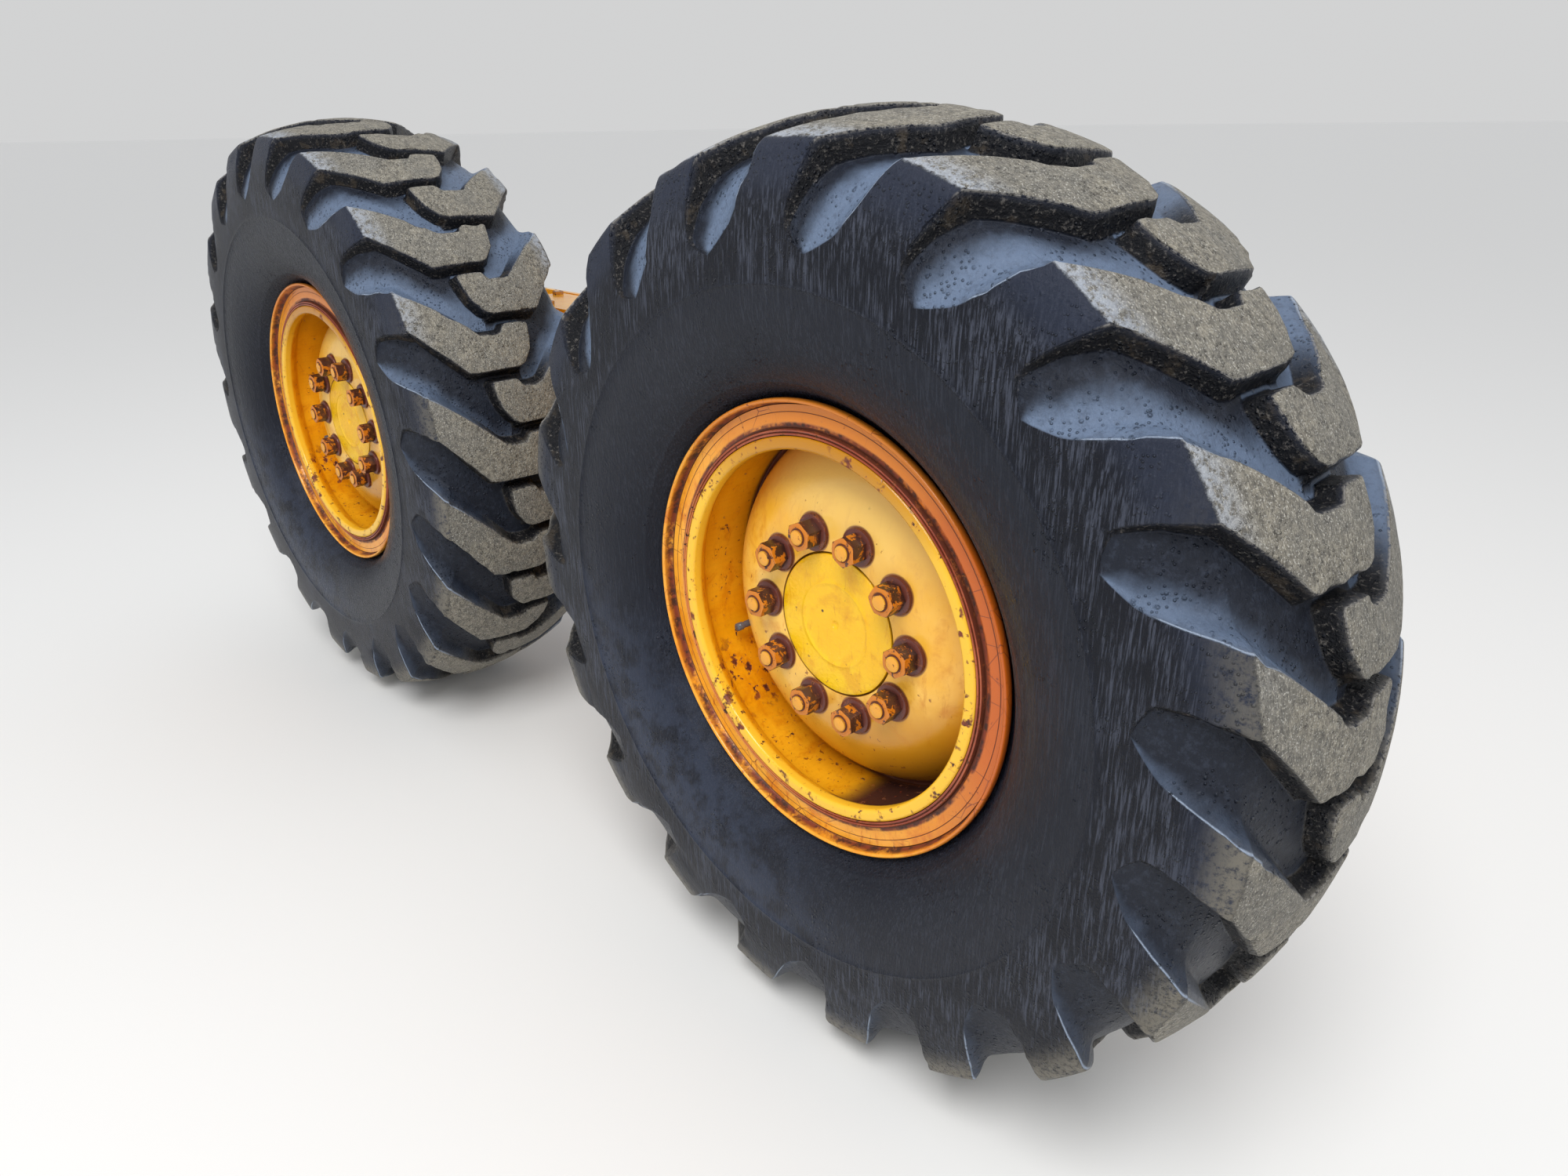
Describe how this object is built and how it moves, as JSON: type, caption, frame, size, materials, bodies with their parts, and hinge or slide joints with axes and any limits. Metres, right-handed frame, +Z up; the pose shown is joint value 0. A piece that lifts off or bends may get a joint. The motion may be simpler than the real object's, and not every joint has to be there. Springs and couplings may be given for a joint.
{
  "type": "motor grader tandem drive",
  "caption": "Tandem drive of a road grader: tyred wheels with multi-piece rims on a walking beam case, swinging on a flanged axle end.",
  "frame": {"origin": "centre of the axle end's bolting face, on the pivot axis", "axes": "+X the way the machine drives, +Y inboard along the pivot axis, +Z up"},
  "size_m": [3.0593, 0.775, 1.3836],
  "materials": {
    "tyre": "worn rubber",
    "rim_base": "gloss, chipped",
    "side_ring": "gloss, rusted",
    "lock_ring": "rusted",
    "disc": "gloss, faded",
    "hub": "gloss",
    "hub_cover": "gloss",
    "nuts": "rusted",
    "valve": "dull",
    "case": "gloss, chipped",
    "bolts": "rusted",
    "plugs": "dull",
    "axle_end": "gloss, chipped"
  },
  "bodies": {
    "axle_end": {"axle_end": "axle_end"},
    "tandem": {"tandem_case": "case", "front_spindle": "case", "rear_spindle": "case", "side_cover": "case", "front_top_cover": "case", "rear_top_cover": "case", "front_back_cover": "case", "rear_back_cover": "case", "pivot_ring": "case", "cover_bolts": "bolts", "breather": "plugs", "drain_plugs": "plugs"},
    "front_wheel": {"front_tyre": "tyre", "front_rim_base": "rim_base", "front_side_ring": "side_ring", "front_lock_ring": "lock_ring", "front_disc": "disc", "front_hub": "hub", "front_hub_cover": "hub_cover", "front_nuts": "nuts", "front_valve": "valve"},
    "rear_wheel": {"rear_tyre": "tyre", "rear_rim_base": "rim_base", "rear_side_ring": "side_ring", "rear_lock_ring": "lock_ring", "rear_disc": "disc", "rear_hub": "hub", "rear_hub_cover": "hub_cover", "rear_nuts": "nuts", "rear_valve": "valve"}
  },
  "joints": [
    {"name": "tandem_swing", "type": "hinge", "parent": "axle_end", "child": "tandem", "pos_m": [0, -0.1, 0], "axis": [0, 1, 0], "range_deg": [-15, 15]},
    {"name": "front_wheel_turn", "type": "hinge", "parent": "tandem", "child": "front_wheel", "pos_m": [0.837, -0.4, -0.05], "axis": [0, 1, 0], "continuous": true},
    {"name": "rear_wheel_turn", "type": "hinge", "parent": "tandem", "child": "rear_wheel", "pos_m": [-0.837, -0.4, -0.05], "axis": [0, 1, 0], "continuous": true}
  ]
}
